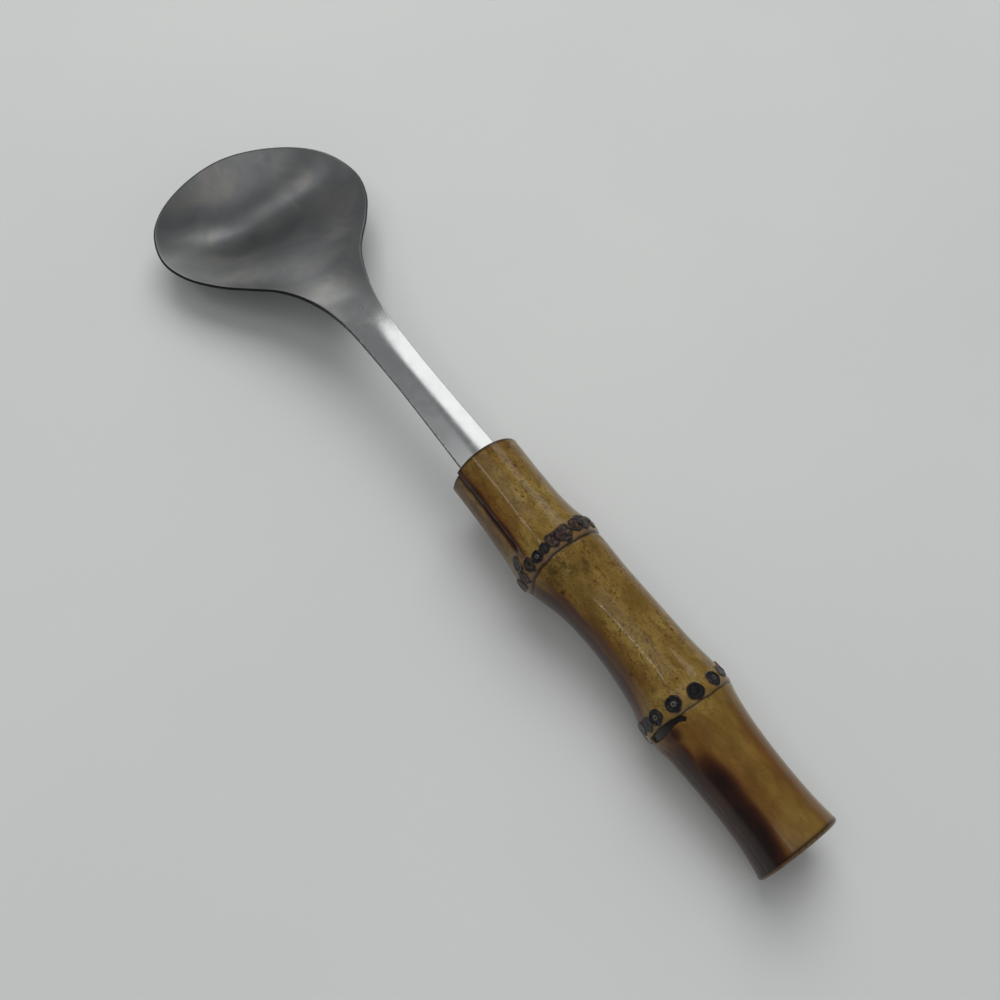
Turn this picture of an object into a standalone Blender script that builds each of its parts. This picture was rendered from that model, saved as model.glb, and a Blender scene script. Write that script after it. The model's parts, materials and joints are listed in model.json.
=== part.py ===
# Salad serving spoon: a stamped steel head whose tang is cemented into a bamboo root handle.
# Lengths are in metres. Pieces are modelled along the handle's axis, with x from the butt to the bowl,
# y to the left and z up, and the whole spoon is then laid on the table as it rests there.
import bpy
import bmesh
from math import atan2, cos, pi, radians, sin, sqrt
from mathutils import Matrix, Vector

MM = 0.001

# Handle: outline of the bamboo as (distance from the butt, radius, lean of the middle to the left)
HANDLE_LENGTH = 125.0 * MM
BUTT_RADIUS = 11.65 * MM
FRONT_RADIUS = 10.9 * MM
BUTT_LEAN = -0.5 * MM
FRONT_LEAN = 0.2 * MM
REAR_NODE = 41.0 * MM
FRONT_NODE = 91.3 * MM
NODE_RADIUS = 12.75 * MM
END_CHAMFER = 0.5 * MM
HANDLE_SIDES = 48
HANDLE_PROFILE = [
    (0.0, BUTT_RADIUS, BUTT_LEAN),
    (4.0 * MM, 11.1 * MM, -0.6 * MM),
    (10.0 * MM, 10.6 * MM, -0.7 * MM),
    (21.0 * MM, 10.6 * MM, -0.7 * MM),
    (30.0 * MM, 11.1 * MM, -0.8 * MM),
    (REAR_NODE - 4.5 * MM, 11.8 * MM, -1.1 * MM),
    (REAR_NODE - 1.5 * MM, 12.4 * MM, -1.4 * MM),
    (REAR_NODE, NODE_RADIUS, -1.4 * MM),
    (REAR_NODE + 3.5 * MM, 12.4 * MM, -1.4 * MM),
    (REAR_NODE + 7.0 * MM, 11.6 * MM, -1.8 * MM),
    (53.0 * MM, 10.9 * MM, -2.0 * MM),
    (65.0 * MM, 10.25 * MM, -2.1 * MM),
    (78.0 * MM, 10.5 * MM, -1.4 * MM),
    (86.0 * MM, 11.6 * MM, -0.4 * MM),
    (FRONT_NODE - 2.0 * MM, 12.3 * MM, 0.1 * MM),
    (FRONT_NODE, NODE_RADIUS, 0.2 * MM),
    (FRONT_NODE + 3.5 * MM, 12.5 * MM, 0.1 * MM),
    (FRONT_NODE + 7.0 * MM, 11.7 * MM, 0.3 * MM),
    (104.0 * MM, 11.1 * MM, 0.4 * MM),
    (112.0 * MM, 10.9 * MM, 0.3 * MM),
    (HANDLE_LENGTH, FRONT_RADIUS, FRONT_LEAN),
]

# The bud groove runs along one side of an internode and changes sides at every node. Its upper bank is
# steep and its lower bank is a long flat. Each row: start, end, and the bank's angle from the top at both
GROOVE_DEPTH = 1.5 * MM
GROOVE_BANK = radians(8.0)
GROOVE_WIDTH = radians(38.0)
GROOVE_RUNOUT = 6.0 * MM
GROOVES = [
    (-8.0 * MM, REAR_NODE - 3.0 * MM, radians(66.0), radians(86.0)),
    (REAR_NODE + 8.0 * MM, FRONT_NODE - 4.0 * MM, radians(-78.0), radians(-78.0)),
    (FRONT_NODE + 4.0 * MM, 140.0 * MM, radians(68.0), radians(67.0)),
]

# Bore, tang and the cement between them
BORE_RADIUS = 4.9 * MM
BORE_DEPTH = 74.0 * MM
FIT_GAP = 0.3 * MM
CEMENT_RECESS = 0.6 * MM
TANG_LENGTH = 66.0 * MM
CEMENT_SIDE_RAYS = 2
CEMENT_TOP_RAYS = 6
TANG_COLUMNS = 4       # columns of the sheet, on each side of the middle, that run on as the tang

# Steel head: edge of the sheet as (distance from the handle, half width, height above the axis)
EDGE = [
    (FIT_GAP, 6.2 * MM, 0.0),
    (30.0 * MM, 5.7 * MM, -0.3 * MM),
    (46.0 * MM, 5.8 * MM, -0.6 * MM),
    (60.0 * MM, 6.4 * MM, -0.9 * MM),
    (70.0 * MM, 8.1 * MM, -1.5 * MM),
    (79.0 * MM, 11.0 * MM, -3.0 * MM),
    (87.0 * MM, 14.8 * MM, -5.7 * MM),
    (94.0 * MM, 19.5 * MM, -9.0 * MM),
    (103.0 * MM, 26.5 * MM, -12.4 * MM),
    (114.0 * MM, 33.2 * MM, -14.8 * MM),
    (125.0 * MM, 35.6 * MM, -16.1 * MM),
    (138.2 * MM, 31.3 * MM, -16.4 * MM),
    (147.5 * MM, 19.8 * MM, -16.0 * MM),
    (151.9 * MM, 0.0, -14.9 * MM),
]
# Bowl: its lowest line as (distance from the handle, height above the axis), a long ramp and a steep far wall
MIDDLE = [
    (60.0 * MM, -0.9 * MM, 0.0),
    (70.0 * MM, -2.2 * MM, 0.0),
    (79.0 * MM, -5.4 * MM, 0.0),
    (90.0 * MM, -10.8 * MM, 0.0),
    (102.0 * MM, -17.0 * MM, 0.0),
    (113.0 * MM, -22.4 * MM, 0.0),
    (122.0 * MM, -26.4 * MM, 0.0),
    (129.0 * MM, -28.9 * MM, 0.0),
    (134.0 * MM, -29.4 * MM, 0.0),
    (139.5 * MM, -27.7 * MM, 0.0),
    (144.5 * MM, -23.8 * MM, 0.0),
    (148.8 * MM, -18.9 * MM, 0.0),
    (151.9 * MM, -14.9 * MM, 0.0),
]
BOWL_FLATNESS = 2.1    # power of the bowl's section: higher is flatter below and steeper at the rim
SHANK_THICKNESS = 2.0 * MM
BOWL_THICKNESS = 1.0 * MM
THIN_FROM = 40.0 * MM
THIN_TO = 95.0 * MM
CORNER_STATION = 11    # edge point where the side of the bowl turns into its far rim
EDGE_STEPS = 12
SHEET_ROWS = 44
SHEET_COLUMNS = 16

STEEL = ("satin_steel", (0.46, 0.47, 0.48, 1.0), 0.32, 1.0)
BAMBOO = ("lacquered_bamboo", (0.27, 0.14, 0.04, 1.0), 0.25, 0.0)
CEMENT = ("tang_resin", (0.10, 0.075, 0.05, 1.0), 0.6, 0.0)


def clear_scene():
    for old in list(bpy.data.objects):
        bpy.data.objects.remove(old, do_unlink=True)


def make_material(name, colour, roughness, metallic):
    material = bpy.data.materials.new(name)
    material.use_nodes = True
    shader = material.node_tree.nodes["Principled BSDF"]
    shader.inputs["Base Color"].default_value = colour
    shader.inputs["Roughness"].default_value = roughness
    shader.inputs["Metallic"].default_value = metallic
    return material


def make_object(name, bm, material, parent):
    mesh = bpy.data.meshes.new(name)
    bm.to_mesh(mesh)
    bm.free()
    mesh.materials.append(make_material(*material))
    mesh.shade_smooth()
    mesh.set_sharp_from_angle(angle=radians(35.0))
    piece = bpy.data.objects.new(name, mesh)
    bpy.context.collection.objects.link(piece)
    piece.parent = parent
    return piece


def smooth_step(value):
    value = min(max(value, 0.0), 1.0)
    return value * value * (3.0 - 2.0 * value)


def curve_through(points, steps, beyond=None):
    # Centripetal curve through the points, with the same number of steps in each span
    points = [Vector(p) for p in points]
    beyond = Vector(beyond) if beyond else 2 * points[-1] - points[-2]
    points = [2 * points[0] - points[1]] + points + [beyond]
    result = []
    for i in range(1, len(points) - 2):
        p0, p1, p2, p3 = points[i - 1:i + 3]
        t1 = sqrt((p1 - p0).length)
        t2 = t1 + sqrt((p2 - p1).length)
        t3 = t2 + sqrt((p3 - p2).length)
        for k in range(steps):
            t = t1 + (t2 - t1) * k / steps
            a1 = p0.lerp(p1, t / t1)
            a2 = p1.lerp(p2, (t - t1) / (t2 - t1))
            a3 = p2.lerp(p3, (t - t2) / (t3 - t2))
            b1 = a1.lerp(a2, t / t2)
            b2 = a2.lerp(a3, (t - t1) / (t3 - t1))
            result.append(b1.lerp(b2, (t - t1) / (t2 - t1)))
    result.append(points[-2])
    return result


def read_curve(samples, x, axis):
    # Value of one coordinate where the sampled curve, which only runs forward, reaches x
    for a, b in zip(samples, samples[1:]):
        if x <= b.x:
            part = (x - a.x) / max(b.x - a.x, 1e-9)
            return a[axis] + (b[axis] - a[axis]) * min(max(part, 0.0), 1.0)
    return samples[-1][axis]


def spaced(samples, count):
    # Points at even steps of length along a sampled curve
    lengths = [0.0]
    for a, b in zip(samples, samples[1:]):
        lengths.append(lengths[-1] + (b - a).length)
    result = []
    k = 0
    for i in range(count + 1):
        want = lengths[-1] * i / count
        while k < len(samples) - 2 and lengths[k + 1] < want:
            k += 1
        part = (want - lengths[k]) / max(lengths[k + 1] - lengths[k], 1e-9)
        result.append(samples[k].lerp(samples[k + 1], min(part, 1.0)))
    return result


def groove_depth(x, angle):
    depth = 0.0
    for start, end, first, last in GROOVES:
        along = smooth_step((x - start) / GROOVE_RUNOUT) * smooth_step((end - x) / GROOVE_RUNOUT)
        crease = first + (last - first) * min(max((x - start) / (end - start), 0.0), 1.0)
        turn = (angle - crease + pi) % (2 * pi) - pi
        if crease < 0.0:
            turn = -turn
        bank = smooth_step(1.0 + turn / GROOVE_BANK) if turn < 0.0 else 1.0 - turn / GROOVE_WIDTH
        depth += GROOVE_DEPTH * along * max(bank, 0.0)
    return depth


def ring(bm, x, radius, lean=0.0, grooved=False):
    verts = []
    for i in range(HANDLE_SIDES):
        angle = 2 * pi * i / HANDLE_SIDES
        r = radius - groove_depth(x, angle) if grooved else radius
        verts.append(bm.verts.new((x, lean + r * sin(angle), r * cos(angle))))
    return verts


def skin(bm, rings):
    # Closed body through a row of rings, capped at both ends
    for a, b in zip(rings, rings[1:]):
        for i in range(len(a)):
            j = (i + 1) % len(a)
            bm.faces.new((a[i], a[j], b[j], b[i]))
    bm.faces.new(list(reversed(rings[0])))
    bm.faces.new(rings[-1])
    bmesh.ops.recalc_face_normals(bm, faces=bm.faces)


def build_handle(parent):
    bm = bmesh.new()
    outline = curve_through(HANDLE_PROFILE, 3)
    rings = [ring(bm, 0.0, BUTT_RADIUS - END_CHAMFER, BUTT_LEAN, grooved=True)]
    for point in outline:
        x = min(max(point.x, END_CHAMFER), HANDLE_LENGTH - END_CHAMFER)
        rings.append(ring(bm, x, point.y, point.z, grooved=True))
    rings.append(ring(bm, HANDLE_LENGTH, FRONT_RADIUS - END_CHAMFER, FRONT_LEAN, grooved=True))
    rings.append(ring(bm, HANDLE_LENGTH, BORE_RADIUS))
    rings.append(ring(bm, HANDLE_LENGTH - BORE_DEPTH, BORE_RADIUS))
    skin(bm, rings)
    return make_object("bamboo_handle", bm, BAMBOO, parent)


def sheet_thickness(s):
    thin = smooth_step((s - THIN_FROM) / (THIN_TO - THIN_FROM))
    return SHANK_THICKNESS + (BOWL_THICKNESS - SHANK_THICKNESS) * thin


def bowl_depth(s, y, edge, middle):
    if s < MIDDLE[0][0]:
        return 0.0
    deepest = max(read_curve(edge, s, 2) - read_curve(middle, s, 1), 0.0)
    side = min(abs(y) / max(read_curve(edge, s, 1), 1e-6), 1.0)
    return deepest * (1.0 - side ** BOWL_FLATNESS)


def sheet_grid(edge, corner):
    # Plan of the sheet as rows from the handle to the far rim, which bow forward towards the rim
    side = spaced(edge[:corner + 1], SHEET_ROWS)
    half_rim = edge[corner:]
    rim = [Vector((p.x, -p.y, p.z)) for p in half_rim] + list(reversed(half_rim))[1:]
    rim = spaced(rim, SHEET_COLUMNS)
    rows = []
    for i, point in enumerate(side):
        bow = (i / SHEET_ROWS) ** 3
        row = []
        for j, far in enumerate(rim):
            across = 2.0 * j / SHEET_COLUMNS - 1.0
            across += (far.y / side[-1].y - across) * bow
            row.append((point.x + bow * (far.x - side[-1].x), point.y * across))
        rows.append(row)
    return rows


def build_head(parent):
    s, half_width, height = EDGE[-2]
    edge = curve_through(EDGE, EDGE_STEPS, beyond=(s, -half_width, height))
    middle = curve_through(MIDDLE, EDGE_STEPS)
    corner = CORNER_STATION * EDGE_STEPS
    bm = bmesh.new()
    weights = bm.verts.layers.deform.verify()

    def place(s, y):
        top = read_curve(edge, s, 2) + sheet_thickness(s) / 2
        vert = bm.verts.new((HANDLE_LENGTH + s, y, top - bowl_depth(s, y, edge, middle)))
        vert[weights][0] = sheet_thickness(s) / SHANK_THICKNESS
        return vert

    rows = [[place(s, y) for s, y in row] for row in sheet_grid(edge, corner)]
    half = SHEET_COLUMNS // 2
    root = rows[0][half - TANG_COLUMNS:half + TANG_COLUMNS + 1]
    tang = [bm.verts.new(vert.co - Vector((TANG_LENGTH, 0.0, 0.0))) for vert in root]
    for vert in tang:
        vert[weights][0] = 1.0
    for a, b in list(zip(rows, rows[1:])) + [(tang, root)]:
        for j in range(len(a) - 1):
            bm.faces.new((a[j], b[j], b[j + 1], a[j + 1]))
    bmesh.ops.recalc_face_normals(bm, faces=bm.faces)
    if sum(face.normal.z for face in bm.faces) < 0:
        bmesh.ops.reverse_faces(bm, faces=bm.faces)
    head = make_object("spoon_head", bm, STEEL, parent)
    head.vertex_groups.new(name="sheet")
    sheet = head.modifiers.new("Sheet thickness", "SOLIDIFY")
    sheet.thickness = SHANK_THICKNESS
    sheet.offset = -1.0
    sheet.use_even_offset = True
    sheet.vertex_group = "sheet"
    return head


def build_cement(parent):
    bm = bmesh.new()
    front = HANDLE_LENGTH - CEMENT_RECESS
    back = HANDLE_LENGTH - BORE_DEPTH + FIT_GAP
    radius = BORE_RADIUS - FIT_GAP
    half_width = EDGE[0][1] * 2 * TANG_COLUMNS / SHEET_COLUMNS + FIT_GAP
    half_height = SHANK_THICKNESS / 2 + FIT_GAP
    slot_end = HANDLE_LENGTH - TANG_LENGTH
    # Points of the slot and of the round outside lie on the same rays, with a ray through each corner
    corner = atan2(half_height, half_width)
    rays = [corner * i / CEMENT_SIDE_RAYS for i in range(CEMENT_SIDE_RAYS)]
    rays += [corner + (pi / 2 - corner) * i / CEMENT_TOP_RAYS for i in range(CEMENT_TOP_RAYS)]
    rays += [pi / 2] + [pi - ray for ray in reversed(rays)]
    rays += [ray + pi for ray in rays[1:-1]]

    def loop(x, shape):
        return [bm.verts.new((x, y, z)) for y, z in shape]

    outside = [(radius * cos(ray), radius * sin(ray)) for ray in rays]
    slot = []
    for ray in rays:
        reach = min(half_width / max(abs(cos(ray)), 1e-9), half_height / max(abs(sin(ray)), 1e-9))
        slot.append((reach * cos(ray), reach * sin(ray)))
    loops = [loop(back, outside), loop(front, outside), loop(front, slot), loop(slot_end, slot)]
    skin(bm, loops)
    return make_object("tang_cement", bm, CEMENT, parent)


def rest_on_table(base, pieces):
    # Tilt the spoon until butt and bowl touch the table together, then set the origin under its middle
    bpy.context.view_layer.update()
    depsgraph = bpy.context.evaluated_depsgraph_get()
    points = []
    for piece in pieces:
        points += [v.co.copy() for v in piece.evaluated_get(depsgraph).data.vertices]
    rear = [p for p in points if p.x < HANDLE_LENGTH / 2]
    fore = [p for p in points if p.x > HANDLE_LENGTH]
    low, high = 0.0, radians(15.0)
    for _ in range(40):
        tilt = (low + high) / 2
        turn = Matrix.Rotation(-tilt, 3, "Y")
        if min((turn @ p).z for p in fore) < min((turn @ p).z for p in rear):
            low = tilt
        else:
            high = tilt
    turned = [turn @ p for p in points]
    middle_x = (min(p.x for p in turned) + max(p.x for p in turned)) / 2
    middle_y = (min(p.y for p in turned) + max(p.y for p in turned)) / 2
    base.rotation_euler = (0.0, -tilt, 0.0)
    base.location = (-middle_x, -middle_y, -min(p.z for p in turned))


def main():
    clear_scene()
    base = bpy.data.objects.new("spoon_at_rest", None)
    bpy.context.collection.objects.link(base)
    pieces = [build_handle(base), build_head(base), build_cement(base)]
    rest_on_table(base, pieces)


main()
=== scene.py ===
import bpy
import json
import random
import numpy as np
from math import atan2, cos, pi, radians, sin
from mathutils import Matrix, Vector


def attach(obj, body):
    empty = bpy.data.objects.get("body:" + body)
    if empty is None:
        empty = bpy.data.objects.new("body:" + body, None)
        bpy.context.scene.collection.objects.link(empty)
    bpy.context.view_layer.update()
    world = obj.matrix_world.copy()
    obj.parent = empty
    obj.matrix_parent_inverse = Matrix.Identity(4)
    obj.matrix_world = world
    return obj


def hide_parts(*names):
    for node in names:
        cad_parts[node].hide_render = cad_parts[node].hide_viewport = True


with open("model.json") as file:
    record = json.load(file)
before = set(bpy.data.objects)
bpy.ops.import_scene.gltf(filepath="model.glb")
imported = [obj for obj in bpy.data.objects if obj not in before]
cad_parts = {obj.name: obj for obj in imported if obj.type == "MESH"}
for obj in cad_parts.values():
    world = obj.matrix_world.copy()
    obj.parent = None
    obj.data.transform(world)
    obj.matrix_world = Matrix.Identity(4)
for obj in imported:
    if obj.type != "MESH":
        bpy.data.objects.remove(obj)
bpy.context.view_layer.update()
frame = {"nodes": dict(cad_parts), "record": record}
print("frame loaded:", sorted(frame["nodes"]))

# Pieces are modelled in metres along the handle's axis, with x from the butt towards the bowl, y to the
# left and z up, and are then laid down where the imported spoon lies. Sizes in the dictionaries are in mm,
# and angles round the handle are in degrees from its top towards the left.
mm = 0.001
buttFace = frame["record"]["mounts"][0]
buttPoint = Vector(buttFace["pos_m"])
handleAxis = -Vector(buttFace["axis"])
tilt = atan2(handleAxis.z, handleAxis.x)        # the bowl lifts the handle's front end


def smoothStep(value):
    value = np.clip(value, 0.0, 1.0)
    return value * value * (3.0 - 2.0 * value)


def curveThrough(points, steps, beyond=None):
    # smooth curve through the points, with even steps in each span
    points = [Vector(p) for p in points]
    beyond = Vector(beyond) if beyond else 2 * points[-1] - points[-2]
    points = [2 * points[0] - points[1]] + points + [beyond]
    samples = []
    for i in range(1, len(points) - 2):
        p0, p1, p2, p3 = points[i - 1:i + 3]
        t1 = (p1 - p0).length ** 0.5
        t2 = t1 + (p2 - p1).length ** 0.5
        t3 = t2 + (p3 - p2).length ** 0.5
        for k in range(steps):
            t = t1 + (t2 - t1) * k / steps
            a1 = p0.lerp(p1, t / t1)
            a2 = p1.lerp(p2, (t - t1) / (t2 - t1))
            a3 = p2.lerp(p3, (t - t2) / (t3 - t2))
            b1 = a1.lerp(a2, t / t2)
            b2 = a2.lerp(a3, (t - t1) / (t3 - t1))
            samples.append(b1.lerp(b2, (t - t1) / (t2 - t1)))
    samples.append(points[-2])
    return np.array([list(p) for p in samples])


def pickOnly(piece):
    bpy.ops.object.select_all(action="DESELECT")
    piece.select_set(True)
    bpy.context.view_layer.objects.active = piece


def selectVerts(piece, chosen):
    # leaves edit mode with just these vertices, and the edges and faces between them, selected
    bpy.ops.object.mode_set(mode="EDIT")
    bpy.ops.mesh.select_mode(type="VERT")
    bpy.ops.mesh.select_all(action="DESELECT")
    bpy.ops.object.mode_set(mode="OBJECT")
    for vert in piece.data.vertices:
        vert.select = bool(chosen(vert))
    bpy.ops.object.mode_set(mode="EDIT")


def applyModifier(piece, kind, **settings):
    modifier = piece.modifiers.new(kind.title(), kind)
    for name, value in settings.items():
        setattr(modifier, name, value)
    bpy.ops.object.modifier_apply(modifier=modifier.name)


def layDown(piece):
    # place of the finished piece goes into its mesh
    pickOnly(piece)
    piece.rotation_euler = (0.0, -tilt, 0.0)
    piece.location = buttPoint
    bpy.ops.object.transform_apply(location=True, rotation=True, scale=True)


def linear(hexText):
    # sRGB hex to the linear colour that shaders take
    parts = [int(hexText[i:i + 2], 16) / 255 for i in (1, 3, 5)]
    return [p / 12.92 if p <= 0.04045 else ((p + 0.055) / 1.055) ** 2.4 for p in parts] + [1.0]


def addNode(tree, kind, inputs=None, stops=None, out=0, **settings):
    # one node with its settings, its sockets given values or links, and its colour stops if it has any
    node = tree.nodes.new(kind)
    for name, value in settings.items():
        setattr(node, name, value)
    for name, value in (inputs or {}).items():
        if isinstance(value, bpy.types.NodeSocket):
            tree.links.new(value, node.inputs[name])
        else:
            node.inputs[name].default_value = value
    for i, (position, colour) in enumerate(stops or []):
        ramp = node.color_ramp.elements
        element = ramp[i] if i < 2 else ramp.new(position)
        element.position = position
        element.color = linear(colour)
    return node.outputs[out]


def newMaterial(name):
    material = bpy.data.materials.new(name)
    material.use_nodes = True
    tree = material.node_tree
    return material, tree, tree.nodes["Principled BSDF"]


def handleCoordinates(tree):
    # millimetres from the butt along the handle, to its left and up
    coords = addNode(tree, "ShaderNodeTexCoord", out=3)
    return addNode(tree, "ShaderNodeMapping", {"Vector": coords, "Location": buttPoint,
                   "Rotation": (0.0, -tilt, 0.0), "Scale": (mm, mm, mm)}, vector_type="TEXTURE")


# Stainless sheet, stamped and polished by hand: a soft grey mirror, satin and cloudy in the bowl, with a
# brighter shank whose polishing lines run lengthwise, and painted shade darkening the sheet's cut edge faces
def satinSteel():
    material, tree, shader = newMaterial("satin_stainless_sheet")
    place = handleCoordinates(tree)
    along = addNode(tree, "ShaderNodeSeparateXYZ", {0: place})
    clouds = addNode(tree, "ShaderNodeTexNoise", {"Vector": place, "Scale": 1 / 17, "Detail": 3.0,
                     "Roughness": 0.5, "Distortion": 1.2})
    smears = addNode(tree, "ShaderNodeTexNoise", {"Vector": place, "Scale": 1 / 5, "Detail": 5.0,
                     "Roughness": 0.65, "Distortion": 0.8})
    lengthwise = addNode(tree, "ShaderNodeMapping", {"Vector": place, "Scale": (0.03, 1.0, 1.0)})
    lines = addNode(tree, "ShaderNodeTexNoise", {"Vector": lengthwise, "Scale": 1 / 0.35, "Detail": 3.0})

    # The polish wears off towards the bowl along a ragged border
    ragged = addNode(tree, "ShaderNodeMapRange", {"Value": clouds, "To Min": -14.0, "To Max": 14.0})
    border = addNode(tree, "ShaderNodeMath", {0: along, 1: ragged}, operation="ADD")
    satin = addNode(tree, "ShaderNodeMapRange", {"Value": border, "From Min": 174.0, "From Max": 206.0},
                    interpolation_type="SMOOTHSTEP")
    cloudy = addNode(tree, "ShaderNodeValToRGB", {"Fac": clouds},
                     [(0.3, "#909192"), (0.5, "#9a9b9b"), (0.72, "#aaa7a2")])
    tone = addNode(tree, "ShaderNodeMix", {0: satin, 6: linear("#dadbda"), 7: cloudy}, out=2,
                   data_type="RGBA")
    # painted shade: the sheet's cut edge faces are darkened to near black
    edgeFaces = addNode(tree, "ShaderNodeAttribute", out=2, attribute_name="rim")
    edgeShade = addNode(tree, "ShaderNodeMapRange", {"Value": edgeFaces, "From Min": 0.97, "From Max": 1.0})
    tone = addNode(tree, "ShaderNodeMix", {0: edgeShade, 6: tone, 7: linear("#343536")}, out=2,
                   data_type="RGBA")
    base = addNode(tree, "ShaderNodeMapRange", {"Value": satin, "To Min": 0.2, "To Max": 0.42})
    spread = addNode(tree, "ShaderNodeMapRange", {"Value": smears, "From Min": 0.3, "From Max": 0.7,
                     "To Min": -0.05, "To Max": 0.05})
    roughness = addNode(tree, "ShaderNodeMath", {0: base, 1: spread}, operation="ADD")
    dents = addNode(tree, "ShaderNodeBump", {"Height": clouds, "Strength": 0.2, "Distance": 0.12 * mm})
    fine = addNode(tree, "ShaderNodeBump", {"Height": lines, "Strength": 0.12, "Distance": 0.02 * mm,
                   "Normal": dents})
    shader.inputs["Metallic"].default_value = 1.0
    tree.links.new(tone, shader.inputs["Base Color"])
    tree.links.new(roughness, shader.inputs["Roughness"])
    tree.links.new(fine, shader.inputs["Normal"])
    return material


steelHead = {
    "start": 125.0,                 # the handle's front end, from the butt
    "edge": [                       # from the handle's end, half width, height over the handle's axis
        (0.3, 6.2, 0.0), (30.0, 5.7, -0.3), (46.0, 5.8, -0.6), (60.0, 6.4, -0.9), (70.0, 8.1, -1.5),
        (79.0, 11.0, -3.0), (87.0, 14.8, -5.7), (94.0, 19.5, -9.0), (103.0, 26.5, -12.4),
        (114.0, 33.2, -14.8), (125.0, 35.6, -16.1), (138.2, 31.3, -16.4), (147.5, 19.8, -16.0),
        (151.9, 0.0, -14.9),
    ],
    "corner": 11,                   # edge point where the bowl's side turns into its far rim
    "middle": [                     # the sheet's lowest line: from the handle's end, height over the axis
        (60.0, -0.9, 0.0), (70.0, -2.2, 0.0), (79.0, -5.4, 0.0), (90.0, -10.8, 0.0), (102.0, -17.0, 0.0),
        (113.0, -22.4, 0.0), (122.0, -26.4, 0.0), (129.0, -28.9, 0.0), (134.0, -29.4, 0.0),
        (139.5, -27.7, 0.0), (144.5, -23.8, 0.0), (148.8, -18.9, 0.0), (151.9, -14.9, 0.0),
    ],
    "flatness": 2.1,                # higher gives the bowl a flatter bottom and steeper sides
    "bow": 3,                       # how late the rows across start to follow the round far rim
    "shankThickness": 2.0, "bowlThickness": 1.0, "thinFrom": 40.0, "thinTo": 95.0,
    "crown": 0.35, "swell": 0.45, "crownEnd": 34.0, "crownFade": 36.0,      # the shank's domed top
    "tangLength": 66.0, "tangHalfWidth": 3.2,
    "rows": 88, "columns": 32, "edgeSteps": 24, "edgeRound": 0.25,
}


def buildSteelHead():
    d = steelHead
    s, halfWidth, height = d["edge"][-2]
    edge = curveThrough(d["edge"], d["edgeSteps"], beyond=(s, -halfWidth, height))
    middle = curveThrough(d["middle"], d["edgeSteps"])
    corner = d["corner"] * d["edgeSteps"]
    side = edge[:corner + 1]
    rim = np.concatenate([edge[corner:] * (1, -1, 1), edge[corner:][::-1][1:]])

    def alongCurve(curve, part):
        run = np.concatenate([[0.0], np.cumsum(np.linalg.norm(np.diff(curve, axis=0), axis=1))])
        return np.array([np.interp(part * run[-1], run, curve[:, k]) for k in range(3)])

    def sheetPoint(u, v):
        # u runs from the handle to the far rim, v from right to left
        point = alongCurve(side, u)
        far = alongCurve(rim, (v + 1) / 2)
        bow = u ** d["bow"]
        across = v + (far[1] / side[-1][1] - v) * bow
        s = point[0] + bow * (far[0] - side[-1][0])
        y = point[1] * across
        wide = np.interp(s, edge[:, 0], edge[:, 1])
        part = min(abs(y) / max(wide, 1e-6), 1.0)
        level = np.interp(s, edge[:, 0], edge[:, 2])
        sink = max(level - np.interp(s, middle[:, 0], middle[:, 1]), 0.0) if s > middle[0, 0] else 0.0
        thin = smoothStep((s - d["thinFrom"]) / (d["thinTo"] - d["thinFrom"]))
        thickness = d["shankThickness"] + (d["bowlThickness"] - d["shankThickness"]) * thin
        crown = d["crown"] * (0.5 - part * part) + d["swell"] * cos(pi * part) / 2
        crown = crown * (1 - smoothStep((s - d["crownEnd"]) / d["crownFade"]))
        z = level + thickness / 2 + crown - sink * (1 - part ** d["flatness"])
        return Vector((d["start"] + s, y, z)) * mm, thickness / d["shankThickness"]

    bpy.ops.object.select_all(action="DESELECT")
    bpy.ops.mesh.primitive_grid_add(x_subdivisions=d["rows"], y_subdivisions=d["columns"], size=2)
    head = bpy.context.object
    head.name = head.data.name = "steel_head"
    onRim = [float(max(abs(vert.co.y), vert.co.x) > 0.999) for vert in head.data.vertices]
    head.data.attributes.new("rim", "FLOAT", "POINT").data.foreach_set("value", onRim)
    sheet = head.vertex_groups.new(name="sheet")
    for vert in head.data.vertices:         # the flat grid is drawn down into the stamped shape
        vert.co, share = sheetPoint((vert.co.x + 1) / 2, vert.co.y)
        sheet.add([vert.index], share, "REPLACE")
    firstRow = min(vert.co.x for vert in head.data.vertices)
    selectVerts(head, lambda v: v.co.x < firstRow + 0.01 * mm and abs(v.co.y) < d["tangHalfWidth"] * mm)
    bpy.ops.mesh.extrude_region_move(TRANSFORM_OT_translate={"value": (-d["tangLength"] * mm, 0, 0)})
    bpy.ops.mesh.select_all(action="SELECT")
    bpy.ops.mesh.normals_make_consistent(inside=False)
    bpy.ops.object.mode_set(mode="OBJECT")
    if sum(face.normal.z for face in head.data.polygons) < 0:
        bpy.ops.object.mode_set(mode="EDIT")
        bpy.ops.mesh.flip_normals()
        bpy.ops.object.mode_set(mode="OBJECT")
    pickOnly(head)
    applyModifier(head, "SOLIDIFY", thickness=d["shankThickness"] * mm, offset=-1.0, use_even_offset=True,
                  vertex_group="sheet")
    applyModifier(head, "BEVEL", width=d["edgeRound"] * mm, segments=2, limit_method="ANGLE",
                  angle_limit=radians(50))
    applyModifier(head, "SUBSURF", levels=1, render_levels=1)
    bpy.ops.object.shade_smooth_by_angle(angle=radians(40))
    layDown(head)
    head.data.materials.append(satinSteel())
    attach(head, "root")
    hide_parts("spoon_head")
    print("steel head:", len(head.data.polygons), "faces")
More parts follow.
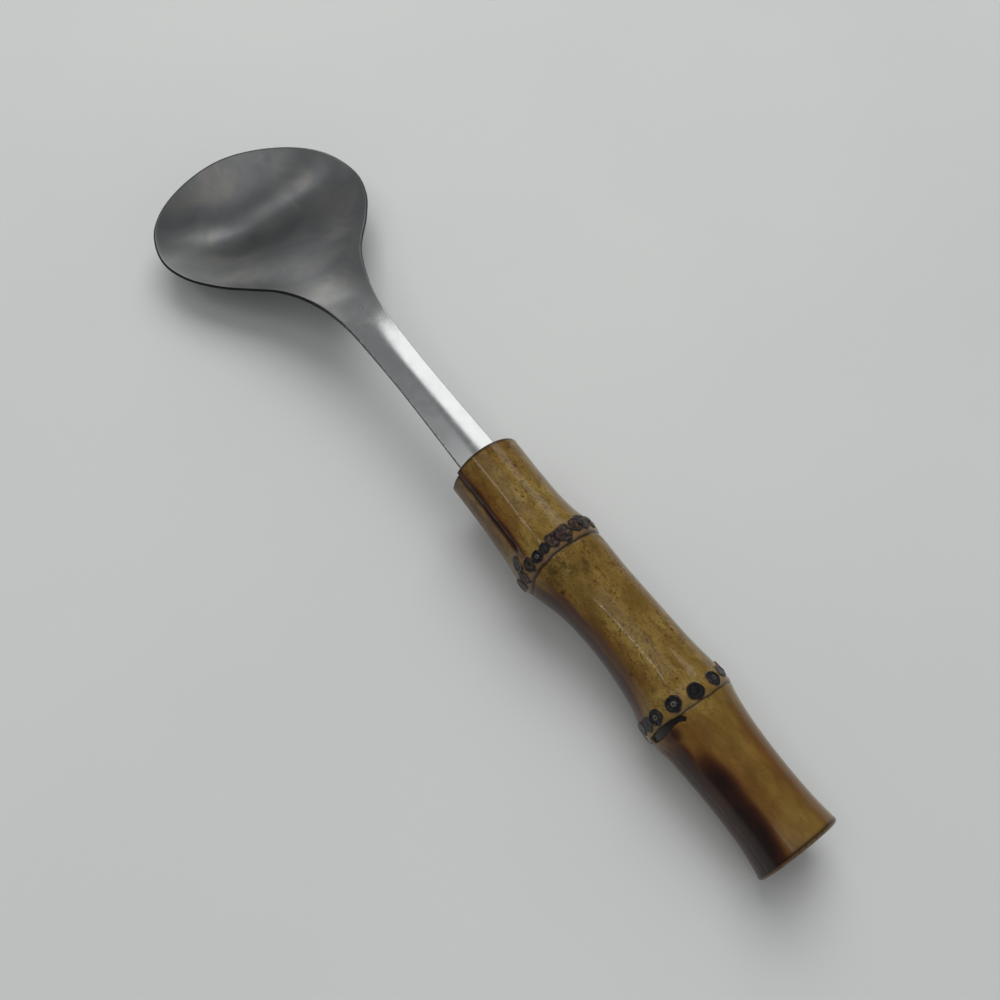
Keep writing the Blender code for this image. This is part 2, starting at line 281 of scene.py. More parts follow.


# Bamboo root, toned with a flame and dipped in clear lacquer: freckled tan skin that runs through amber to
# nearly black where it was toasted, with painted shade on the left flank and in the groove creases, dark
# rough root scars at the nodes, all under one wet-looking gloss
def lacqueredBamboo():
    material, tree, shader = newMaterial("lacquered_bamboo_root")
    place = handleCoordinates(tree)
    paint = {name: addNode(tree, "ShaderNodeAttribute", out=2, attribute_name=name)
             for name in ("toastAndShade", "amber", "olive", "freckle", "scar", "char", "eye", "ridge", "lip",
                          "cut")}
    drawn = addNode(tree, "ShaderNodeMapping", {"Vector": place, "Scale": (0.55, 1.0, 1.0)})
    strung = addNode(tree, "ShaderNodeMapping", {"Vector": place, "Scale": (0.05, 1.0, 1.0)})
    fibres = addNode(tree, "ShaderNodeTexNoise", {"Vector": strung, "Scale": 1 / 0.5, "Detail": 3.0})
    clouds = addNode(tree, "ShaderNodeTexNoise", {"Vector": drawn, "Scale": 1 / 7, "Detail": 5.0,
                     "Roughness": 0.6})
    mottle = addNode(tree, "ShaderNodeTexNoise", {"Vector": drawn, "Scale": 1 / 2.0, "Detail": 6.0,
                     "Roughness": 0.7})
    specks = addNode(tree, "ShaderNodeTexNoise", {"Vector": place, "Scale": 1 / 0.65, "Detail": 3.0,
                     "Roughness": 0.65})
    crust = addNode(tree, "ShaderNodeTexNoise", {"Vector": place, "Scale": 1 / 0.9, "Detail": 5.0})
    pores = addNode(tree, "ShaderNodeTexVoronoi", {"Vector": place, "Scale": 1 / 0.9})

    # Freckles gather in flocks, and the toasting has a broken edge
    flocked = addNode(tree, "ShaderNodeMapRange", {"Value": clouds, "From Min": 0.34, "From Max": 0.58,
                      "To Min": 0.35, "To Max": 1.0})
    flocks = addNode(tree, "ShaderNodeMath", {0: flocked, 1: paint["freckle"]}, operation="MULTIPLY")
    patches = addNode(tree, "ShaderNodeMapRange", {"Value": mottle, "From Min": 0.46, "From Max": 0.62,
                      "To Max": 0.85})
    patched = addNode(tree, "ShaderNodeMath", {0: patches, 1: flocks}, operation="MULTIPLY")
    dots = addNode(tree, "ShaderNodeMapRange", {"Value": specks, "From Min": 0.54, "From Max": 0.65,
                   "To Max": 0.9})
    dotted = addNode(tree, "ShaderNodeMath", {0: dots, 1: flocks}, operation="MULTIPLY")
    # olive patches; on the left flank the olive is painted shade
    green = addNode(tree, "ShaderNodeMapRange", {"Value": mottle, "From Min": 0.4, "From Max": 0.58,
                    "To Min": 0.15, "To Max": 0.9})
    oliveAndShade = addNode(tree, "ShaderNodeMath", {0: green, 1: paint["olive"]}, operation="MULTIPLY")
    ragged = addNode(tree, "ShaderNodeMapRange", {"Value": clouds, "From Min": 0.3, "From Max": 0.7,
                     "To Min": 0.8, "To Max": 1.2})
    # toasting, and on the left flank painted shade, darken the skin here
    toastedAndShaded = addNode(tree, "ShaderNodeMath", {0: paint["toastAndShade"], 1: ragged}, operation="MULTIPLY",
                      use_clamp=True)
    toastAndShadeCover = addNode(tree, "ShaderNodeMapRange", {"Value": toastedAndShaded, "From Min": 0.02, "From Max": 0.55},
                         interpolation_type="SMOOTHSTEP")
    charred = addNode(tree, "ShaderNodeMath", {0: paint["scar"], 1: paint["char"]}, operation="MULTIPLY")

    tan = addNode(tree, "ShaderNodeValToRGB", {"Fac": clouds},
                  [(0.32, "#664e1d"), (0.5, "#79602b"), (0.68, "#8c743a")])
    amber = addNode(tree, "ShaderNodeValToRGB", {"Fac": clouds}, [(0.34, "#57370d"), (0.66, "#774f16")])
    brown = addNode(tree, "ShaderNodeValToRGB", {"Fac": toastedAndShaded},
                    [(0.0, "#6b4513"), (0.4, "#4c2909"), (0.7, "#321405"), (1.0, "#1a0702")])
    bark = addNode(tree, "ShaderNodeValToRGB", {"Fac": crust},
                   [(0.38, "#120905"), (0.5, "#35231a"), (0.64, "#5f4837")])
    coal = addNode(tree, "ShaderNodeValToRGB", {"Fac": crust},
                   [(0.36, "#050406"), (0.58, "#0f0a0d"), (0.8, "#231a1b")])
    sawn = addNode(tree, "ShaderNodeValToRGB", {"Fac": pores},
                   [(0.12, "#2c1a0c"), (0.35, "#59401f"), (0.8, "#6b4d28")])
    skin = tan
    # the ridge attribute darkens the node lines, the bud scar, the crack and the sawn edges, and is painted
    # shade in the groove creases
    for mask, colour in ((paint["amber"], amber), (patched, linear("#50360f")), (dotted, linear("#331d08")),
                         (oliveAndShade, linear("#3f3010")), (toastAndShadeCover, brown), (paint["lip"], linear("#6b5240")),
                         (paint["scar"], bark), (charred, coal), (paint["eye"], linear("#7d766c")),
                         (paint["ridge"], linear("#120905")), (paint["cut"], sawn)):
        skin = addNode(tree, "ShaderNodeMix", {0: mask, 6: skin, 7: colour}, out=2, data_type="RGBA")
    shade = addNode(tree, "ShaderNodeMapRange", {"Value": fibres, "From Min": 0.3, "From Max": 0.7,
                    "To Min": 0.92, "To Max": 1.04})
    skin = addNode(tree, "ShaderNodeVectorMath", {0: skin, "Scale": shade}, operation="SCALE")

    # The lacquer flows in slow ripples with a fine grain on top, and sinks in dull at the butt and the scars
    along = addNode(tree, "ShaderNodeSeparateXYZ", {0: place})
    gloss = addNode(tree, "ShaderNodeMapRange", {"Value": along, "From Min": 28.0, "From Max": 44.0,
                    "To Min": 0.2, "To Max": 0.1}, interpolation_type="SMOOTHSTEP")
    crisp = addNode(tree, "ShaderNodeMapRange", {"Value": paint["char"], "To Min": 0.45, "To Max": 0.2})
    dull = addNode(tree, "ShaderNodeMath", {0: paint["scar"], 1: crisp}, operation="MULTIPLY")
    sunk = addNode(tree, "ShaderNodeMath", {0: paint["ridge"], 1: 0.35}, operation="MULTIPLY")
    roughness = addNode(tree, "ShaderNodeMath", {0: gloss, 1: dull}, operation="MAXIMUM")
    roughness = addNode(tree, "ShaderNodeMath", {0: roughness, 1: sunk}, operation="MAXIMUM")
    ripple = addNode(tree, "ShaderNodeTexNoise", {"Vector": drawn, "Scale": 1 / 4, "Detail": 3.0})
    flow = addNode(tree, "ShaderNodeBump", {"Height": ripple, "Strength": 0.15, "Distance": 0.3 * mm})
    grain = addNode(tree, "ShaderNodeBump", {"Height": specks, "Strength": 0.3, "Distance": 0.04 * mm,
                    "Normal": flow})
    rough = addNode(tree, "ShaderNodeMath", {0: crust, 1: paint["scar"]}, operation="MULTIPLY")
    crusty = addNode(tree, "ShaderNodeBump", {"Height": rough, "Strength": 0.9, "Distance": 0.25 * mm,
                     "Normal": grain})
    tree.links.new(skin, shader.inputs["Base Color"])
    tree.links.new(roughness, shader.inputs["Roughness"])
    tree.links.new(crusty, shader.inputs["Normal"])
    shader.inputs["IOR"].default_value = 1.43
    return material


bambooHandle = {
    "length": 125.0,
    "profile": [                    # from the butt, radius, lean of the middle to the left
        (0.0, 11.65, -0.5), (4.0, 11.1, -0.6), (10.0, 10.6, -0.7), (21.0, 10.6, -0.7), (30.0, 11.1, -0.8),
        (36.5, 11.8, -1.1), (39.5, 12.3, -1.4), (41.0, 12.5, -1.4), (44.5, 12.3, -1.4), (48.0, 11.6, -1.8),
        (53.0, 10.9, -2.0), (65.0, 10.25, -2.1), (78.0, 10.5, -1.4), (86.0, 11.6, -0.4), (89.3, 12.1, 0.1),
        (91.3, 12.4, 0.2), (94.8, 12.2, 0.1), (98.3, 11.6, 0.3), (104.0, 11.1, 0.4), (112.0, 10.9, 0.3),
        (125.0, 10.9, 0.2),
    ],
    "profileSteps": 12, "sides": 272, "rowCuts": 17,
    "closeRows": 6.0, "closeAhead": 2.5, "closeness": 1.8,      # where rows gather at the nodes, how much
    "buttArris": 0.9, "frontArris": 0.45, "boreRadius": 4.9, "boreDepth": 74.0, "pith": 2.2,
    "faceRings": (0.97, 0.9, 0.8, 0.75),    # rings on the sawn faces, each against the one outside it
    "bareRadius": 6.5, "bareButt": 0.45, "bareFront": 0.2,      # how far bare end grain reaches
    "wave": 0.12,
    # bud grooves: start, end, angle of the steep bank at both ends
    "grooves": [(-8.0, 37.5, 72.0, 84.0), (49.0, 87.3, -78.0, -78.0), (94.5, 140.0, 58.0, 68.0)],
    "grooveDepth": 1.4, "grooveBank": 5.0, "grooveWidth": 38.0, "grooveRunout": 5.0,
    "creaseAt": 0.5, "creaseDepth": 0.35, "creaseWidth": 3.6, "creaseShade": 0.8,
    # toasted stretches, on the left flank partly painted shade: start, end, middle angle at both, half
    # width, fade, depth
    "toastsAndShade": [
        # entries round 80 to 96 degrees darken the left flank: partly toasting, partly painted shade
        (-9.0, 36.0, 52.0, 44.0, 6.0, 26.0, 1.0), (-12.0, 44.0, 86.0, 78.0, 16.0, 22.0, 0.85),
        (88.0, 139.0, 55.0, 63.0, 2.0, 15.0, 0.75), (43.0, 93.0, 67.0, 63.0, 3.0, 12.0, 0.5),
        (38.0, 95.0, 94.0, 90.0, 12.0, 20.0, 0.8), (45.0, 97.0, -140.0, -120.0, 20.0, 25.0, 0.7),
        (-5.0, 35.0, -150.0, -130.0, 15.0, 25.0, 0.5), (95.0, 135.0, 175.0, 190.0, 18.0, 25.0, 0.6),
        (-14.0, 44.0, -42.0, -36.0, 5.0, 24.0, 0.3), (92.0, 139.0, 96.0, 96.0, 12.0, 18.0, 0.3),
    ],
    "darkEnds": 14.0, "darkWander": 1.5,
    # soft patches: place, angle, reach along, reach round, depth
    "ambers": [
        (112.0, 46.0, 12.0, 15.0, 0.9), (122.0, -15.0, 4.0, 40.0, 0.4), (80.0, 58.0, 8.0, 13.0, 0.8),
        (67.0, 58.0, 11.0, 16.0, 0.9), (54.0, 55.0, 6.0, 16.0, 0.8), (60.0, -44.0, 12.0, 9.0, 0.35),
        (77.0, -36.0, 6.0, 8.0, 0.25), (18.0, 22.0, 18.0, 26.0, 0.8), (33.0, 32.0, 6.0, 22.0, 0.85),
        (14.0, -58.0, 14.0, 16.0, 0.8), (19.0, -28.0, 15.0, 18.0, 0.85), (2.0, 34.0, 4.0, 18.0, 0.9),
        (25.0, 180.0, 14.0, 40.0, 0.7), (70.0, 150.0, 14.0, 35.0, 0.6), (112.0, -110.0, 12.0, 30.0, 0.6),
    ],
    # the olive patch round 92 degrees darkens the left flank: painted shade
    "olives": [(85.5, 34.0, 2.6, 20.0, 1.0), (83.5, 6.0, 2.2, 16.0, 0.8), (88.0, -150.0, 3.0, 30.0, 0.8),
               (34.5, -20.0, 2.5, 16.0, 0.35), (112.0, 92.0, 16.0, 20.0, 1.0)],
    "spots": [(115.9, -15.0, 0.6), (123.3, -35.0, 0.5), (54.8, 57.0, 0.9), (81.2, 53.0, 0.7),
              (107.0, 5.0, 0.35), (57.5, -33.0, 0.5), (46.8, 10.0, 0.4), (110.0, -40.0, 0.35)],
    "spotDark": 0.6,
    "freckles": [(0.0, 0.3), (36.0, 0.4), (44.0, 0.7), (88.0, 1.0), (98.0, 0.7), (125.0, 1.0)],
    "ridgeGroove": 0.16, "ridgeDark": 0.95, "lipWidth": 0.8, "lipBlur": 0.48, "lipRaise": 0.1,
    "lipPale": 0.8, "edgeBand": 0.45, "edgeBandDark": 0.9,
    "ridgeWaves": [(7, 0.12, 0.0), (17, 0.06, 1.0)],    # waves in one turn, height, shift
}

# Nodes: the ridge's place, how far it swings and where, then its root scars as place, angle, radius,
# length over width, how pale the eye is and how charred the scar is
rearNode = {
    "ridge": 39.3, "ridgeWidth": 0.26, "swing": 1.1, "swingAngle": 62.0, "swingWidth": 32.0, "lip": 0.3,
    "scars": [(43.6, 92.0, 1.9, 1.0, 0.0, 1.0), (43.2, 75.0, 2.0, 1.0, 0.0, 1.0),
              (43.0, 57.0, 2.05, 1.0, 0.9, 1.0), (42.6, 30.0, 2.1, 1.0, 0.9, 1.0),
              (41.8, 2.0, 2.15, 1.0, 0.0, 1.0), (41.9, -26.0, 2.05, 1.0, 0.3, 0.9),
              (42.6, -48.0, 1.8, 1.0, 0.0, 0.5), (43.9, -68.0, 1.7, 1.0, 0.0, 0.4)],
    "hiddenFrom": -90.0, "hiddenTo": -246.0, "hiddenScars": 7, "seed": 4,
}
frontNode = {
    "ridge": 89.4, "ridgeWidth": 0.42, "swing": -1.9, "swingAngle": 88.0, "swingWidth": 30.0, "lip": 1.0,
    "scars": [(90.6, 90.0, 1.7, 1.1, 0.0, 0.5), (94.4, 70.0, 1.6, 1.7, 0.0, 0.4),
              (90.9, 73.0, 1.6, 1.3, 0.0, 0.6), (91.8, 54.0, 1.7, 1.3, 0.0, 0.55),
              (91.8, 39.0, 1.7, 1.0, 0.9, 1.0), (92.2, 26.5, 1.5, 1.0, 0.1, 1.0),
              (92.6, 12.0, 2.1, 1.0, 0.0, 0.4), (92.4, -2.5, 2.5, 1.0, 0.0, 0.4),
              (92.9, -23.0, 2.1, 1.0, 0.0, 0.3), (93.2, -38.0, 2.5, 1.0, 0.0, 0.35),
              (92.9, -57.0, 2.0, 1.0, 0.0, 0.3)],
    "hiddenFrom": -74.0, "hiddenTo": -254.0, "hiddenScars": 9, "seed": 9,
}
rootScar = {                        # rim, hollow, outline and eye are placed as shares of the scar's radius
    "raise": 0.3, "edge": 0.14, "uneven": 0.1, "evenWhenCharred": 0.7,
    "rim": 0.1, "rimAt": 0.84, "rimWidth": 0.13, "hollow": 0.12, "hollowAt": 0.5, "hollowWidth": 0.2,
    "outline": (0.8, 1.1), "outlineChar": 0.75, "eyeAt": 0.23, "eyeWidth": 0.08, "eyePale": 0.6,
    # scars round the back: least and most
    "hiddenGap": (0.35, 0.65), "hiddenAhead": (2.4, 3.4), "hiddenRadius": (1.5, 2.2),
    "hiddenChar": (0.2, 1.0),
}
budScar = {                         # upper and lower edges as angle and place
    "upper": [(28.5, 38.7), (30.5, 39.4), (34.0, 39.9), (45.0, 40.4), (62.0, 40.7), (90.0, 40.6)],
    "lower": [(28.5, 38.1), (31.0, 37.7), (34.0, 38.0), (38.0, 38.5), (45.0, 38.6), (58.0, 38.3),
              (72.0, 38.2), (90.0, 38.7)],
    "blur": 0.3, "depth": 0.55, "dark": 1.0, "brown": (37.2, 58.0, 2.6, 17.0, 0.75),
}
crack = {"from": (89.0, -44.0), "to": (86.3, -56.0), "width": 0.22, "depth": 0.25, "taper": 0.2}


def turnFrom(angle, middle):
    return (angle - middle + 180.0) % 360.0 - 180.0


def softPatches(x, angle, patches):
    cover = np.zeros_like(x)
    for place, middle, reachAlong, reachRound, depth in patches:
        off = ((x - place) / reachAlong) ** 2 + (turnFrom(angle, middle) / reachRound) ** 2
        cover = np.maximum(cover, depth * np.exp(-off))
    return cover


def carveNode(node, x, angle, radius, paint):
    # ridge line with its pale lip, and a ring of root scars just in front of it
    d = bambooHandle
    turn = np.radians(angle)
    swing = np.exp(-(turnFrom(angle, node["swingAngle"]) / node["swingWidth"]) ** 2)
    past = x - node["ridge"] - node["swing"] * swing
    for count, height, shift in d["ridgeWaves"]:
        past = past - height * np.sin(count * turn + shift)
    underline = np.exp(-(past / node["ridgeWidth"]) ** 2)
    radius = radius - d["ridgeGroove"] * underline
    paint["ridge"] = np.maximum(paint["ridge"], d["ridgeDark"] * underline)
    lip = np.exp(-((past - d["lipWidth"]) / d["lipBlur"]) ** 2)
    radius = radius + d["lipRaise"] * lip
    paint["lip"] = np.maximum(paint["lip"], d["lipPale"] * node["lip"] * lip)
    s = rootScar
    draw = random.Random(node["seed"])
    scars = list(node["scars"])
    for i in range(node["hiddenScars"]):
        part = (i + draw.uniform(*s["hiddenGap"])) / node["hiddenScars"]
        around = node["hiddenFrom"] + (node["hiddenTo"] - node["hiddenFrom"]) * part
        scars.append((node["ridge"] + draw.uniform(*s["hiddenAhead"]), around,
                      draw.uniform(*s["hiddenRadius"]), 1.0, draw.random() ** 3,
                      draw.uniform(*s["hiddenChar"])))
    for place, around, size, stretch, pale, char in scars:
        ahead = (x - place) / stretch
        across = np.radians(turnFrom(angle, around)) * radius
        heading = np.arctan2(across, ahead)
        uneven = s["uneven"] * (np.sin(3 * heading + around) + 0.7 * np.sin(5 * heading + place))
        reach = size * (1 + (1 - s["evenWhenCharred"] * char) * uneven)
        off = np.hypot(ahead, across) / reach
        cover = 1 - smoothStep((off - 1 + s["edge"] / 2) / s["edge"])
        form = s["raise"] * cover + s["rim"] * np.exp(-((off - s["rimAt"]) / s["rimWidth"]) ** 2)
        hollow = s["hollow"] * np.exp(-((off - s["hollowAt"]) / s["hollowWidth"]) ** 2)
        radius = radius + form - hollow * (0.4 + 0.6 * pale)        # deeper where the eye is pale
        paint["scar"] = np.maximum(paint["scar"], cover)
        paint["char"] = np.where(cover > 0.3, char, paint["char"])
        # dark outline where the scar meets the skin
        inOutline = (off > s["outline"][0]) & (off < s["outline"][1])
        paint["char"] = np.where(inOutline, np.maximum(char, s["outlineChar"]), paint["char"])
        ring = np.exp(-((off - s["eyeAt"]) / s["eyeWidth"]) ** 2)
        paint["eye"] = np.maximum(paint["eye"] * (off > 1), s["eyePale"] * pale * ring)
    return radius


def carveHandle(x, angle):
    # radius, lean and painted values at each point, from its place along and around the handle
    d = bambooHandle
    profile = curveThrough(d["profile"], d["profileSteps"])
    radius = np.interp(x, profile[:, 0], profile[:, 1])
    lean = np.interp(x, profile[:, 0], profile[:, 2])
    turn = np.radians(angle)
    paint = {name: np.zeros_like(x) for name in ("toastAndShade", "scar", "char", "eye", "ridge", "lip", "cut")}
    paint["amber"] = softPatches(x, angle, d["ambers"])
    paint["olive"] = softPatches(x, angle, d["olives"])
    paint["freckle"] = np.interp(x, *zip(*d["freckles"]))
    radius = radius + d["wave"] * (np.sin(2 * turn + 0.06 * x) + 0.6 * np.sin(3 * turn + 1.0 - 0.11 * x))

    for start, end, first, last in d["grooves"]:
        along = smoothStep((x - start) / d["grooveRunout"]) * smoothStep((end - x) / d["grooveRunout"])
        bankAngle = first + (last - first) * np.clip((x - start) / (end - start), 0.0, 1.0)
        away = turnFrom(angle, bankAngle) * (1.0 if first > 0 else -1.0)
        rising = smoothStep(1 + away / d["grooveBank"])
        falling = np.maximum(1 - away / d["grooveWidth"], 0.0)
        crease = np.exp(-((away - d["creaseAt"]) / d["creaseWidth"]) ** 2)
        radius = radius - along * (d["grooveDepth"] * np.where(away < 0, rising, falling))
        radius = radius - along * d["creaseDepth"] * crease
        # painted shade: the crease at the groove's bottom is darkened
        paint["ridge"] = np.maximum(paint["ridge"], d["creaseShade"] * along * crease)

    # toasted stretches; on the left flank they also stand for painted shade
    for start, end, first, last, half, fade, depth in d["toastsAndShade"]:
        middle = first + (last - first) * np.clip((x - start) / (end - start), 0.0, 1.0)
        wander = d["darkWander"] * (np.sin(0.21 * x + first) + 0.6 * np.sin(0.53 * x))
        off = np.abs(turnFrom(angle, middle + wander))
        along = smoothStep((x - start) / d["darkEnds"]) * smoothStep((end - x) / d["darkEnds"])
        paint["toastAndShade"] = np.maximum(paint["toastAndShade"], depth * along * (1 - smoothStep((off - half) / fade)))
    for place, middle, size in d["spots"]:
        off = np.hypot(x - place, np.radians(turnFrom(angle, middle)) * radius) / size
        paint["toastAndShade"] = np.maximum(paint["toastAndShade"], d["spotDark"] * np.exp(-off ** 2))

    for node in (rearNode, frontNode):
        radius = carveNode(node, x, angle, radius, paint)

    # crescent of the bud that grew at the groove's end, with a darker brown patch below it
    b = budScar
    upper = np.interp(angle, *zip(*b["upper"]), left=0.0, right=0.0)
    lower = np.interp(angle, *zip(*b["lower"]), left=0.0, right=0.0)
    within = smoothStep((upper - x) / b["blur"]) * smoothStep((x - lower) / b["blur"])
    radius = radius - b["depth"] * within
    paint["ridge"] = np.maximum(paint["ridge"], b["dark"] * within)
    paint["toastAndShade"] = np.maximum(paint["toastAndShade"], softPatches(x, angle, [b["brown"]]))

    # dark bands along the edges of both sawn ends
    for end in (d["buttArris"], d["length"] - d["frontArris"]):
        edgeLine = d["edgeBandDark"] * np.exp(-((x - end) / d["edgeBand"]) ** 2)
        paint["ridge"] = np.maximum(paint["ridge"], edgeLine)

    # short drying crack beside the front node
    c = crack
    run = c["to"][0] - c["from"][0]
    part = (x - c["from"][0]) / run
    line = c["from"][1] + (c["to"][1] - c["from"][1]) * part
    off = np.radians(turnFrom(angle, line)) * radius / c["width"]
    split = np.exp(-off ** 2) * smoothStep(part / c["taper"]) * smoothStep((1 - part) / c["taper"])
    radius = radius - c["depth"] * split
    paint["ridge"] = np.maximum(paint["ridge"], split)
    return radius, lean, paint


def spreadRows(x):
    # rows stand closer together at the nodes, where the scars are
    d = bambooHandle
    fine = np.linspace(0.0, d["length"], 2001)
    density = np.ones_like(fine)
    for node in (rearNode, frontNode):
        off = (fine - node["ridge"] - d["closeAhead"]) / d["closeRows"]
        density += d["closeness"] * np.exp(-off ** 2)
    share = np.concatenate([[0.0], np.cumsum((density[1:] + density[:-1]) / 2)])
    return np.interp(x / d["length"], share / share[-1], fine)


def buildHandle():
    d = bambooHandle
    bpy.ops.object.select_all(action="DESELECT")
    bpy.ops.mesh.primitive_cylinder_add(vertices=d["sides"], radius=d["boreRadius"] * mm * 2,
                                        depth=d["length"] * mm, end_fill_type="NOTHING",
                                        location=(d["length"] * mm / 2, 0, 0), rotation=(0, pi / 2, 0))
    handle = bpy.context.object
    handle.name = handle.data.name = "bamboo_handle_skin"
    bpy.ops.object.transform_apply(location=True, rotation=True, scale=True)
    bpy.ops.object.mode_set(mode="EDIT")
    for _ in range(2):                       # rows along the tube
        bpy.ops.mesh.select_all(action="DESELECT")
        bpy.ops.mesh.select_mode(type="EDGE")
        bpy.ops.object.mode_set(mode="OBJECT")
        verts = handle.data.vertices
        for edge in handle.data.edges:
            edge.select = abs(verts[edge.vertices[0]].co.x - verts[edge.vertices[1]].co.x) > 1e-6
        bpy.ops.object.mode_set(mode="EDIT")
        bpy.ops.mesh.subdivide(number_cuts=d["rowCuts"])
    bpy.ops.object.mode_set(mode="OBJECT")

    co = np.array([v.co for v in handle.data.vertices]) / mm
    first, last = d["buttArris"], d["length"] - d["frontArris"]
    x = first + spreadRows(co[:, 0]) * (last - first) / d["length"]
    angle = np.degrees(np.arctan2(co[:, 1], co[:, 2]))
    radius, lean, paint = carveHandle(x, angle)
    turn = np.radians(angle)
    shaped = np.stack([x, lean + radius * np.sin(turn), radius * np.cos(turn)], axis=1) * mm
    handle.data.vertices.foreach_set("co", shaped.ravel())
    for name, values in paint.items():
        layer = handle.data.attributes.new(name, "FLOAT", "POINT")
        layer.data.foreach_set("value", values.astype(np.float32))
    print("handle carved:", len(x), "points")

    for end, way, arris in ((first, -1.0, d["buttArris"]), (last, 1.0, d["frontArris"])):
        selectVerts(handle, lambda v: abs(v.co.x / mm - end) < 0.01)
        middle = (end * mm, d["profile"][0 if way < 0 else -1][2] * mm, 0)
        reach = d["profile"][0 if way < 0 else -1][1]
        forward, inset = 0.0, 0.0
        for step in (1, 2, 3):               # worn arris as a quarter round, then the sawn face
            turned = step * pi / 6
            ahead = arris * sin(turned) - forward
            share = (reach - arris * (1 - cos(turned))) / (reach - inset)
            bpy.ops.mesh.extrude_region_move(TRANSFORM_OT_translate={"value": (way * ahead * mm, 0, 0)})
            bpy.ops.transform.resize(value=(1, share, share), center_override=middle)
            forward, inset = arris * sin(turned), arris * (1 - cos(turned))
        for share in d["faceRings"]:
            bpy.ops.mesh.extrude_region_move(TRANSFORM_OT_translate={"value": (0, 0, 0)})
            bpy.ops.transform.resize(value=(1, share, share), center_override=middle)
        bpy.ops.object.mode_set(mode="OBJECT")
        inner = d["boreRadius"] if way > 0 else d["pith"]
        for vert in [v for v in handle.data.vertices if v.select]:
            out = Vector((0, vert.co.y, vert.co.z)).normalized() * inner * mm
            vert.co.y, vert.co.z = out.y, out.z
        bpy.ops.object.mode_set(mode="EDIT")
        if way > 0:
            bpy.ops.mesh.extrude_region_move(TRANSFORM_OT_translate={"value": (-d["boreDepth"] * mm, 0, 0)})
        bpy.ops.mesh.extrude_region_move(TRANSFORM_OT_translate={"value": (0, 0, 0)})
        bpy.ops.mesh.merge(type="CENTER")
        bpy.ops.object.mode_set(mode="OBJECT")

    cut = handle.data.attributes["cut"].data
    for vert in handle.data.vertices:        # bare end grain on the faces and in the bore
        inBore = Vector((0, vert.co.y, vert.co.z)).length / mm < d["bareRadius"]
        atEnd = vert.co.x / mm < d["bareButt"] or vert.co.x / mm > d["length"] - d["bareFront"]
        cut[vert.index].value = 1.0 if atEnd or inBore else 0.0
    pickOnly(handle)
    bpy.ops.object.mode_set(mode="EDIT")
    bpy.ops.mesh.select_all(action="SELECT")
    bpy.ops.mesh.normals_make_consistent(inside=False)
    bpy.ops.object.mode_set(mode="OBJECT")
    bpy.ops.object.shade_smooth_by_angle(angle=radians(40))
    layDown(handle)
    handle.data.materials.append(lacqueredBamboo())
    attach(handle, "root")
    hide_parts("bamboo_handle")
    print("bamboo handle:", len(handle.data.polygons), "faces")


# Epoxy resin, poured in round the tang: dark and dull with a slightly uneven top
def tangResin():
    material, tree, shader = newMaterial("poured_epoxy_resin")
    place = handleCoordinates(tree)
    grains = addNode(tree, "ShaderNodeTexNoise", {"Vector": place, "Scale": 1 / 0.8, "Detail": 4.0})
    tone = addNode(tree, "ShaderNodeValToRGB", {"Fac": grains}, [(0.3, "#1e150e"), (0.7, "#3a2b1d")])
    shine = addNode(tree, "ShaderNodeMapRange", {"Value": grains, "To Min": 0.35, "To Max": 0.65})
    bump = addNode(tree, "ShaderNodeBump", {"Height": grains, "Strength": 0.4, "Distance": 0.2 * mm})
    tree.links.new(tone, shader.inputs["Base Color"])
    tree.links.new(shine, shader.inputs["Roughness"])
    tree.links.new(bump, shader.inputs["Normal"])
    return material


def dressResin():
    resin = frame["nodes"]["tang_cement"]
    resin.data.materials.clear()
    resin.data.materials.append(tangResin())
    print("resin dressed")


# Matt white card: an even pale grey floor that keeps soft shadows
def floorCard():
    material, tree, shader = newMaterial("matt_white_card")
    coords = addNode(tree, "ShaderNodeTexCoord", out=3)
    fleck = addNode(tree, "ShaderNodeTexNoise", {"Vector": coords, "Scale": 6.0, "Detail": 3.0})
    tone = addNode(tree, "ShaderNodeValToRGB", {"Fac": fleck}, [(0.35, "#c6c8c7"), (0.65, "#cacbc9")])
    tree.links.new(tone, shader.inputs["Base Color"])
    shader.inputs["Roughness"].default_value = 0.8
    return material


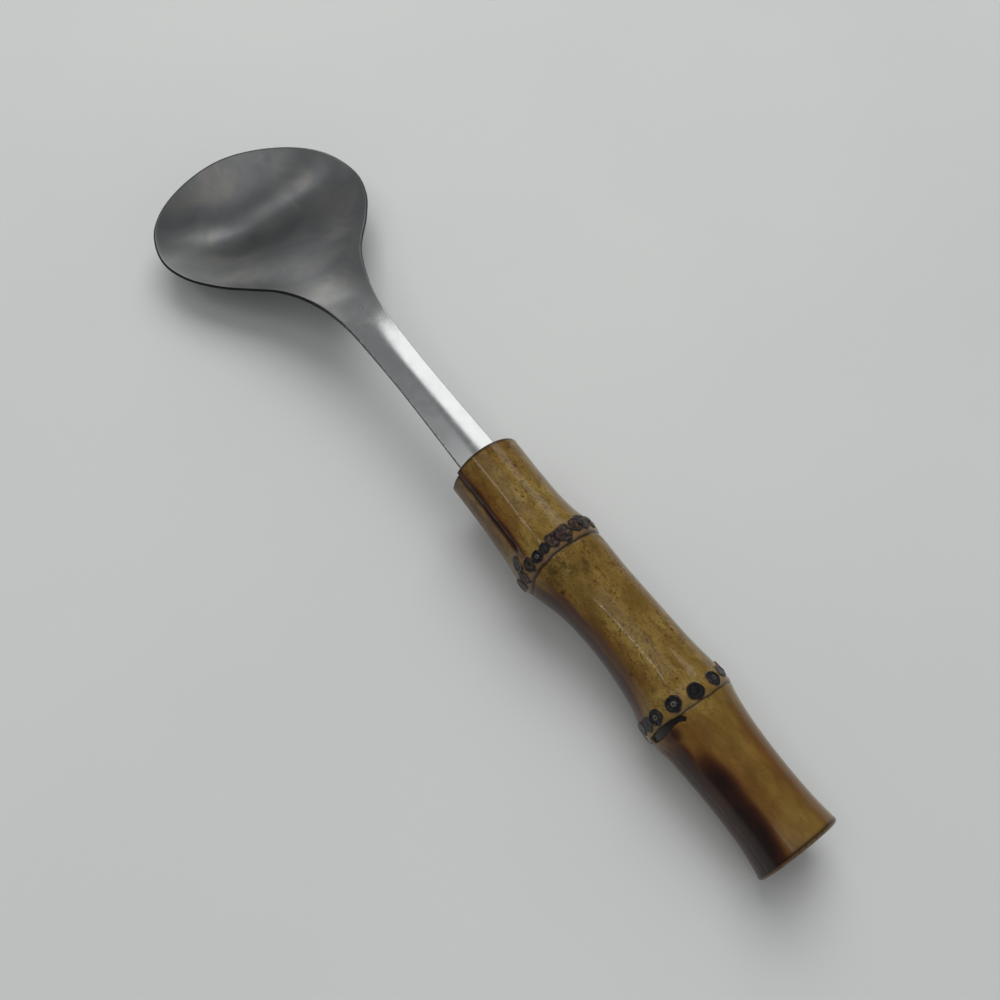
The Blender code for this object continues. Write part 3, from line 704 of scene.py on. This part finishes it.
studio = {
    "floor": 3.0,                   # metres
    "room": "#787a7c",              # even grey room
    # panels: place, aim and size in metres, how bright the panel is, and whether gloss shows it
    "panels": [
        {"name": "large_soft_light", "place": (0.59, -0.46, 1.41), "aim": (0.0, 0.0, 0.0),
         "size": (1.3, 1.3), "level": 3.1, "inGloss": False},
        {"name": "fill_light", "place": (-0.2, 0.65, 1.45), "aim": (0.0, 0.0, 0.0),
         "size": (0.9, 0.9), "level": 1.3, "inGloss": False},
        {"name": "white_card", "place": (0.548, -0.72, 0.824), "aim": (0.0, 0.0, 0.0),
         "size": (0.55, 0.55), "level": 1.1, "inGloss": True},
        {"name": "low_card", "place": (1.7, -0.95, 0.44), "aim": (0.0, 0.0, 0.0),
         "size": (1.2, 0.6), "level": 1.2, "inGloss": True},
        {"name": "card_behind", "place": (-1.3, 0.0, 0.8), "aim": (0.0, 0.0, 0.0),
         "size": (2.2, 0.8), "level": 0.5, "inGloss": True},
        {"name": "ceiling_panel", "place": (0.165, 0.2, 1.0), "aim": (0.165, 0.2, 0.0),
         "size": (0.4, 0.72), "level": 0.5, "inGloss": True},
        {"name": "strip_light", "place": (0.29, 0.57, 0.995), "aim": (0.29, 0.57, 0.0),
         "size": (0.62, 0.035), "level": 6.5, "inGloss": True},
    ],
}
viewCamera = {"place": (-141.691, 92.21, 263.545), "turn": (31.064, -0.814, -126.054), "lens": 38.12,
              "sensor": 36.0}


def buildStudio():
    d = studio
    bpy.ops.object.select_all(action="DESELECT")
    bpy.ops.mesh.primitive_plane_add(size=d["floor"])
    floor = bpy.context.object
    floor.name = "floor"
    floor.data.materials.append(floorCard())
    for panel in d["panels"]:
        bpy.ops.object.light_add(type="AREA", location=panel["place"])
        lamp = bpy.context.object
        lamp.name = panel["name"]
        lamp.data.shape = "RECTANGLE"
        lamp.data.size, lamp.data.size_y = panel["size"]
        lamp.data.energy = panel["level"] * pi * panel["size"][0] * panel["size"][1]
        aim = Vector(panel["aim"]) - Vector(panel["place"])
        lamp.rotation_euler = aim.to_track_quat("-Z", "Y").to_euler()
        lamp.visible_glossy = panel["inGloss"]
    world = bpy.data.worlds.new("studio_room")
    bpy.context.scene.world = world
    world.use_nodes = True
    world.node_tree.nodes["Background"].inputs["Color"].default_value = linear(d["room"])
    bpy.context.scene.view_settings.view_transform = "Standard"
    print("studio built")


def placeCamera():
    d = viewCamera
    bpy.ops.object.camera_add(location=[v * mm for v in d["place"]],
                              rotation=[radians(v) for v in d["turn"]])
    camera = bpy.context.object
    camera.data.sensor_width = d["sensor"]
    camera.data.lens = d["lens"]
    camera.data.clip_start = 0.01
    bpy.context.scene.camera = camera
    print("camera placed")


buildSteelHead()
buildHandle()
dressResin()
buildStudio()
placeCamera()
